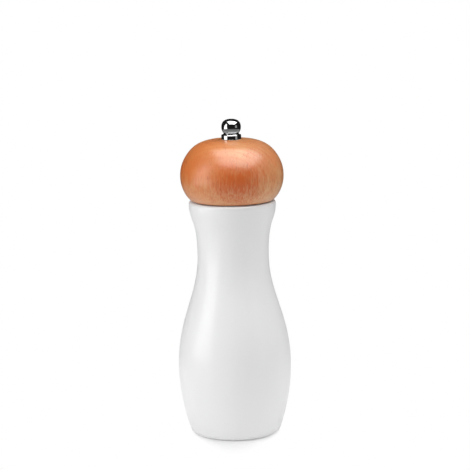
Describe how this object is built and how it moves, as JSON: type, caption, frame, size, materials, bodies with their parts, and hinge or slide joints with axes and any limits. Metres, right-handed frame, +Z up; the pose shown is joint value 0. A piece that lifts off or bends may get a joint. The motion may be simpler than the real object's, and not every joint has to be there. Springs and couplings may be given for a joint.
{
  "type": "pepper mill",
  "caption": "Hand pepper mill: waisted white lacquered wooden body, stained wooden turning head, chrome ball knob, and a steel burr mechanism on a square shaft.",
  "frame": {"origin": "centre of the foot ring, on the surface the mill stands on", "axes": "+Z up the mill's turning axis, from the foot to the knob; the bracket under the foot runs along X"},
  "size_m": [0.066, 0.066, 0.185],
  "materials": {
    "white_lacquer": "satin white lacquer over turned beech",
    "stained_beech": "honey stain under satin varnish",
    "knob_chrome": "polished",
    "shaft_aluminium": "drawn bar",
    "burr_steel": "hardened steel, dark",
    "plated_steel": "zinc plated stamping",
    "spring_steel": "bright wire",
    "bush_nylon": "natural nylon"
  },
  "bodies": {
    "base": {"mill_body": "white_lacquer", "stator": "burr_steel", "guide_spider": "plated_steel", "retaining_bracket": "plated_steel", "bracket_bush": "bush_nylon", "bracket_screws": "plated_steel"},
    "drive": {"thrust_washer": "plated_steel", "spring": "spring_steel"},
    "spindle": {"shaft": "shaft_aluminium", "rotor": "burr_steel", "rotor_washer": "plated_steel", "shaft_nut": "plated_steel"},
    "head": {"head": "stained_beech", "drive_plate": "plated_steel", "plate_screws": "plated_steel"},
    "knob": {"knob": "knob_chrome"}
  },
  "joints": [
    {"name": "head_turn", "type": "hinge", "parent": "base", "child": "drive", "pos_m": [0, 0, 0.1378], "axis": [0, 0, 1], "continuous": true},
    {"name": "head_lift", "type": "slide", "parent": "drive", "child": "head", "axis": [0, 0, 1], "range_m": [0, 0.065]},
    {"name": "knob_turn", "type": "hinge", "parent": "head", "child": "knob", "pos_m": [0, 0, 0.173], "axis": [0, 0, 1], "range_deg": [-270, 720]},
    {"name": "grind_adjust", "type": "slide", "parent": "drive", "child": "spindle", "axis": [0, 0, 1], "range_m": [-0.0016, 0.0006], "deforming": ["spring"]}
  ],
  "couplings": [
    {"joint": "knob_turn", "follows": "grind_adjust", "rad_per_m": -7854}
  ]
}
